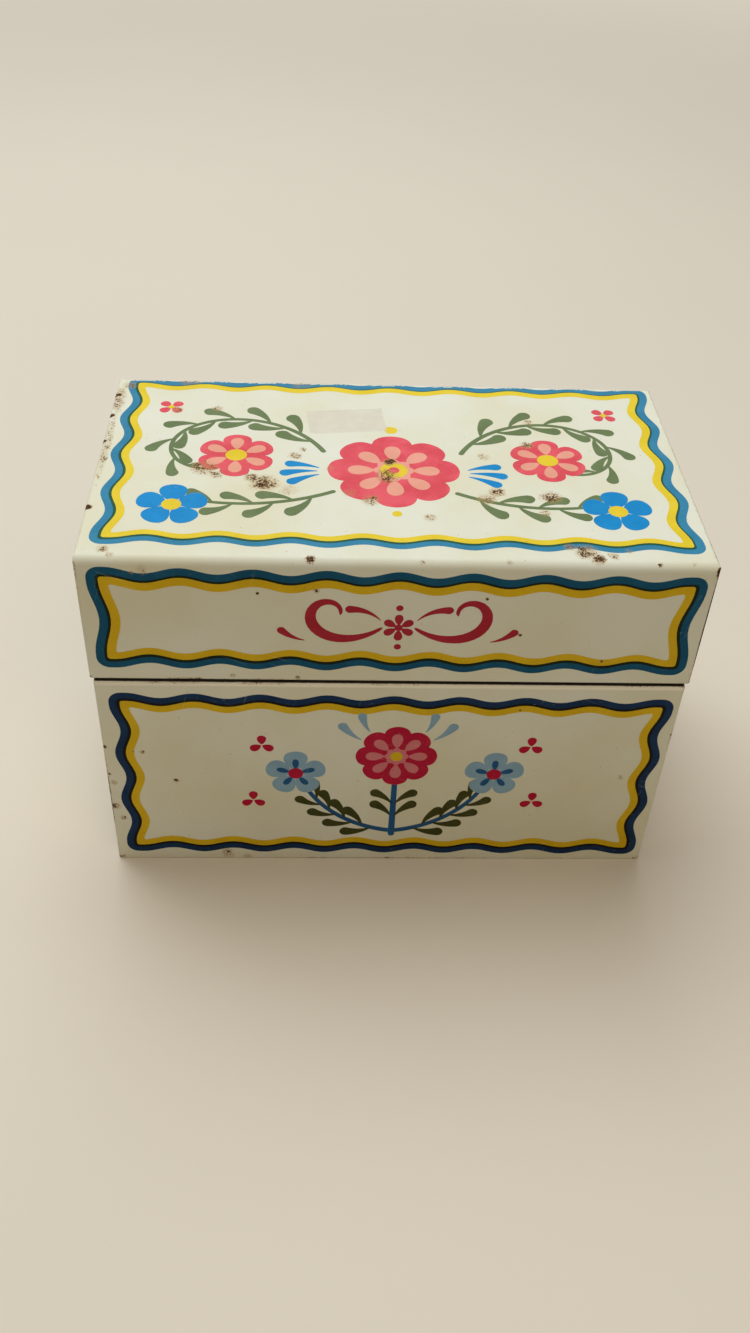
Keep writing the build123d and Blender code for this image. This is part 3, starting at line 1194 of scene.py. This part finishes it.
class LidPrint(PartPrint):
    """The lid's print: its borders, a flower medallion and a garland on top and a scroll on the front."""

    middle = 68.0

    def medallion(self) -> None:
        """Print the round flower in the middle of the top, with its small blue rays."""
        target = self.sheet(Side.TOP, "medallion")
        middle = self.middle
        outer = ((Petals(8, 3.8, 11.5, 9.6), CORAL), (Disc(8.3), CORAL), (Petals(8, 4.4, 6.2, 3.9), PINK))
        inner = ((Disc(4.7, 8, 0.16, 22.5), PINK), (Disc(3.2), LIT_TOP_YELLOW), (Disc(1.3), CORAL))
        target.flower((middle, 36.0), 0, *outer, *inner)
        rays = (
            Stroke((middle + 17.2, 36.6), 26.0, 8.2, 2.7, -30.0),
            Stroke((middle + 17.6, 35.2), 4.0, 8.8, 2.7, -26.0),
            Stroke((middle + 17.2, 33.8), -18.0, 8.2, 2.7, -22.0),
        )
        target.pairs(rays, middle, SKY)
        target.flower((middle, 54.2), 0, (Disc(1.6), LIT_TOP_YELLOW))
        target.flower((middle, 18.2), 0, (Disc(1.1), LIT_TOP_YELLOW))
        target.finish()

    def garland(self) -> None:
        """Print the two leafy scrolls and their flowers."""
        target = self.sheet(Side.TOP, "garland")
        middle = self.middle
        scroll = Stroke((84.0, 43.4), 66.0, 70.0, 1.3, -150.0, -150.0, Shape.VINE)
        branch = Stroke((81.5, 27.0), -30.0, 36.0, 1.25, 48.0, 0.0, Shape.VINE)
        sprigs = (Sprig(scroll, 13, 0.08, 0.84, 9.8, 3.6), Sprig(branch, 6, 0.16, 0.78, 9.6, 3.5))
        target.pairs((scroll, branch), middle, OLIVE)
        target.pairs([leaf for sprig in sprigs for leaf in sprig.strokes()], middle, OLIVE, 1)
        coral = ((Petals(6, 1.8, 7.4, 6.8), CORAL), (Disc(3.6), CORAL), (Petals(6, 2.6, 5.0, 3.1), PINK))
        for centre in twins(104.5, 41.5, middle):
            target.flower(centre, 2, *coral, (Disc(2.5), LIT_TOP_YELLOW))
        for centre in twins(117.5, 20.5, middle):
            target.flower(centre, 2, (Petals(5, 1.2, 6.8, 6.3), SKY), (Disc(2.2), LIT_TOP_YELLOW))
        for centre in twins(121.5, 63.4, middle):
            target.flower(centre, 2, (Petals(4, 0.4, 3.0, 2.4, 45.0), CORAL), (Disc(0.8), LIT_TOP_YELLOW))
        target.finish()

    def flourish(self) -> None:
        """Print the red scroll in the middle of the front."""
        target = self.sheet(Side.FRONT, "flourish")
        middle, level = 68.4, 15.6
        strokes = (
            Stroke((71.9, 15.6), -40.0, 31.0, 2.6, 120.0, 210.0, Shape.SWASH),
            Stroke((72.4, 17.6), 50.0, 8.6, 2.0, -60.0),
            Stroke((88.8, 11.8), 10.0, 6.8, 1.9, 42.0),
        )
        target.pairs(strokes, middle, RED)
        target.flower((middle, level), 1, (Petals(6, 0.7, 2.9, 1.9), RED), (Disc(0.9), RED))
        for off in (5.4, -5.4):
            target.flower((middle, level + off), 0, (Disc(0.8), RED))
        target.finish()

    def build(self) -> None:
        """Print the whole lid."""
        self.borders()
        self.medallion()
        self.garland()
        self.flourish()


class BodyPrint(PartPrint):
    """The body's print: its borders and a flower spray on the front."""

    middle = 69.5

    def spray(self) -> None:
        """Print the flower spray on the front."""
        target = self.sheet(Side.FRONT, "spray")
        middle = self.middle
        arm = Stroke((middle + 0.4, 11.0), 8.0, 27.0, 1.5, 56.0, 0.0, Shape.VINE)
        target.stroke(Stroke((middle, 9.0), 90.0, 24.0, 1.7, 0.0, 0.0, Shape.VINE), DEEP_BLUE, 1)
        target.pairs((arm,), middle, DEEP_BLUE)
        target.pairs(Sprig(arm, 8, 0.18, 0.84, 8.6, 3.1).strokes(), middle, DARK_OLIVE, 1)
        low_leaf = Stroke((middle + 0.4, 16.4), 62.0, 7.4, 2.8, -40.0)
        high_leaf = Stroke((middle + 0.4, 21.0), 58.0, 7.0, 2.7, -40.0)
        target.pairs((low_leaf, high_leaf), middle, DARK_OLIVE, 1)
        outer = ((Petals(8, 2.4, 7.4, 6.3), CRIMSON), (Disc(5.4), CRIMSON), (Petals(8, 2.8, 4.6, 2.7), ROSE))
        target.flower((middle, 37.5), 2, *outer, (Disc(2.9, 8, 0.18, 22.5), ROSE), (Disc(1.5), SHADED_YELLOW))
        slate = ((Petals(5, 1.0, 6.4, 5.8), SLATE), (Petals(5, 1.4, 3.4, 1.6), DEEP_BLUE))
        for spot in twins(93.6, 31.5, middle):
            target.flower(spot, 2, *slate, (Disc(1.8), CRIMSON))
        low_ray = Stroke((middle + 8.6, 43.0), 30.0, 7.4, 2.4, 34.0)
        high_ray = Stroke((middle + 6.6, 45.6), 56.0, 6.4, 2.2, 30.0)
        target.pairs((low_ray, high_ray), middle, SLATE, 1)
        for spot in (*twins(101.6, 41.0, middle), *twins(104.0, 22.0, middle)):
            target.flower(spot, 1, (Petals(3, 0.2, 2.9, 2.2), CRIMSON))
        target.finish()

    def build(self) -> None:
        """Print the whole body."""
        self.borders()
        self.spray()


# The tin parts themselves


class TinParts:
    """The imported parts, which keep their shape and take their finish here."""

    hem_height = 2.5
    fold_height = 2.6

    def dress(self, material: Material, *nodes: str) -> None:
        """Give parts their material.

        Args:
            material: The material.
            *nodes: The parts' names.
        """
        for node in nodes:
            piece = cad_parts[node]
            piece.data.materials.clear()
            piece.data.materials.append(material)
            log.info("%s: %s", node, material.name)

    def build(self) -> tuple[Printed, Printed]:
        """Dress every part.

        Returns:
            How the print of the lid and of the body ages.
        """
        lid_block = TinBlock("lid_shell", True)
        body_block = TinBlock("body_wall", False)
        edge = lid_block.low
        rim = body_block.high
        low, high = millimetres("lid_shell")
        tape = TapeMark((low.x + 57.3, low.y + 58.3, high.z), (9.4, 5.5), 6.0)
        lid = Printed(Wear("lid_wear", lid_block, lid_scuffs(), tape))
        body = Printed(Wear("body_wear", body_block, body_scuffs()))
        lid_bare = (edge + self.hem_height, lid_block.high)
        body_bare = (self.fold_height, rim - self.hem_height)
        # Dirt and painted shade darken the lid's hem edge and the body's rim top at the gap between them.
        lid_shell = PrintedShell("lid_cream", lid_block, lid_bare, (edge + 0.34, edge + 0.12))
        # The body's rolled rim gets a painted highlight over the first heights of the second pair.
        gap_dirt_and_shade, highlight_roll = (rim - 0.20, rim - 0.06), (rim - 1.50, rim - 0.05)
        body_wall = PrintedShell("body_cream", body_block, body_bare, gap_dirt_and_shade, highlight_roll)
        bottom = BareTin("bottom_tin", (178, 172, 158), (132, 122, 104), 0.44, rust_from=0.66)
        hinge = BareTin("hinge_tin", (176, 170, 156), (118, 110, 96), 0.40, rust_from=0.66)
        wire = BareTin("hinge_wire_steel", (132, 126, 118), (86, 80, 74), 0.38, (1.6, 0.2, 0.2), 0.62)
        self.dress(lid_shell.material(lid), "lid_shell")
        self.dress(body_wall.material(body), "body_wall")
        self.dress(bottom.material(), "bottom_pan")
        # The collar's band in the gap under the lid is darkened by dust and painted shade.
        self.dress(BareTin("collar_tin", gap_dust_and_shade=(59.8, 62.1)).material(), "inner_collar")
        leaves = [f"hinge_{part}_leaf_{side}" for part in ("body", "lid") for side in ("left", "right")]
        self.dress(hinge.material(), *leaves)
        self.dress(wire.material(), "hinge_wire_left", "hinge_wire_right")
        return lid, body


# Studio


@dataclass
class Studio:
    """A pale floor, soft lamps and the camera, which stands where the photographer's did."""

    floor_size: float = 5.0
    floor_colour: Triple = (216, 206, 190)
    floor_shade: float = 0.985
    floor_roughness: float = 0.8
    backdrop_colour: Triple = (214, 206, 190)
    backdrop_from: float = 450.0
    backdrop_to: float = 1100.0
    world_strength: float = 0.10
    world_colour: tuple[float, float, float, float] = (1.0, 0.92, 0.80, 1.0)
    camera_place: Triple = (-17.4, -244.3, 244.3)
    camera_turn: Triple = (49.07, -2.26, -1.70)
    camera_lens: float = 32.85

    @staticmethod
    def seen(graph: Graph) -> Socket:
        """Where a ray comes straight from the camera or from a glossy or clear surface."""
        rays = graph.add("ShaderNodeLightPath").outputs
        return graph.join("MAXIMUM", [rays[f"Is {ray} Ray"] for ray in ("Camera", "Glossy", "Transmission")])

    def floor(self) -> None:
        """Lay the floor, which fades into the pale backdrop far from the box."""
        mesh = bmesh.new()
        bmesh.ops.create_grid(mesh, x_segments=4, y_segments=4, size=self.floor_size / 2)
        data = bpy.data.meshes.new("floor")
        mesh.to_mesh(data)
        mesh.free()
        graph = Surface("floor_paper")
        shade = linear(tuple(value * self.floor_shade for value in self.floor_colour))
        tone = graph.mix(graph.noise(0.01, 3.0), linear(self.floor_colour), shade)
        feeds = {"Base Color": tone, "Roughness": self.floor_roughness}
        paper = graph.add("ShaderNodeBsdfPrincipled", feeds)
        glow = graph.add("ShaderNodeEmission", {"Color": linear(self.backdrop_colour)})
        far = graph.ramp(graph.vector("LENGTH", graph.place), self.backdrop_from, self.backdrop_to)
        feeds = {0: graph.times(far, self.seen(graph)), 1: paper.outputs[0], 2: glow.outputs[0]}
        fade = graph.add("ShaderNodeMixShader", feeds)
        graph.add("ShaderNodeOutputMaterial", {"Surface": fade.outputs[0]})
        data.materials.append(graph.material)
        piece = added("floor", data)

    def lamp(self, name: str, place: Triple, size: float, watts: float, colour: Triple) -> None:
        """Hang one square lamp that faces the box.

        Args:
            name: The lamp's name.
            place: Where it hangs, in metres.
            size: The length of its side, in metres.
            watts: Its power.
            colour: Its light's colour.
        """
        data = bpy.data.lights.new(name, "AREA")
        data.size = size
        data.energy = watts
        data.color = colour
        piece = added(name, data)
        piece.location = place
        piece.rotation_euler = (Vector((0, 0, 0.05)) - Vector(place)).to_track_quat("-Z", "Y").to_euler()

    def lights(self) -> None:
        """Light the box softly from above and behind, and from high in front."""
        world = bpy.data.worlds.new("studio")
        world.use_nodes = True
        world.node_tree.nodes.clear()
        graph = Graph(world.node_tree)
        soft = {"Color": self.world_colour, "Strength": self.world_strength}
        light = graph.add("ShaderNodeBackground", soft)
        pale = graph.add("ShaderNodeBackground", {"Color": linear(self.backdrop_colour)})
        feeds = {0: self.seen(graph), 1: light.outputs[0], 2: pale.outputs[0]}
        sky = graph.add("ShaderNodeMixShader", feeds)
        graph.add("ShaderNodeOutputWorld", {"Surface": sky.outputs[0]})
        bpy.context.scene.world = world
        self.lamp("overhead", (-0.22, 0.42, 1.15), 1.0, 15.2, (0.90, 0.96, 1.0))
        self.lamp("front", (0.10, -0.78, 1.25), 0.9, 6.0, (1.0, 0.86, 0.66))

    def camera(self) -> None:
        """Set up the camera."""
        data = bpy.data.cameras.new("camera")
        data.sensor_width = 36.0
        data.lens = self.camera_lens
        piece = added("camera", data)
        piece.location = Vector(self.camera_place) * MM
        piece.rotation_euler = Euler([math.radians(angle) for angle in self.camera_turn], "XYZ")
        bpy.context.scene.camera = piece

    def clear(self) -> None:
        """Take away what Blender's own first scene holds."""
        for name in ("Cube", "Light", "Camera"):
            piece = bpy.data.objects.get(name)
            if piece:
                bpy.data.objects.remove(piece)

    def build(self) -> None:
        """Set up the whole studio."""
        bpy.context.scene.view_settings.view_transform = "Standard"
        self.clear()
        self.floor()
        self.lights()
        self.camera()


def main() -> None:
    logging.basicConfig(level=logging.INFO, format="%(name)s %(message)s")
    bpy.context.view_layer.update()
    lid, body = TinParts().build()
    LidPrint(lid, "lid", "lid_shell", LID_SIDES).build()
    BodyPrint(body, "body", "body_wall", BODY_SIDES).build()
    Studio().build()


if __name__ == "__main__":
    main()
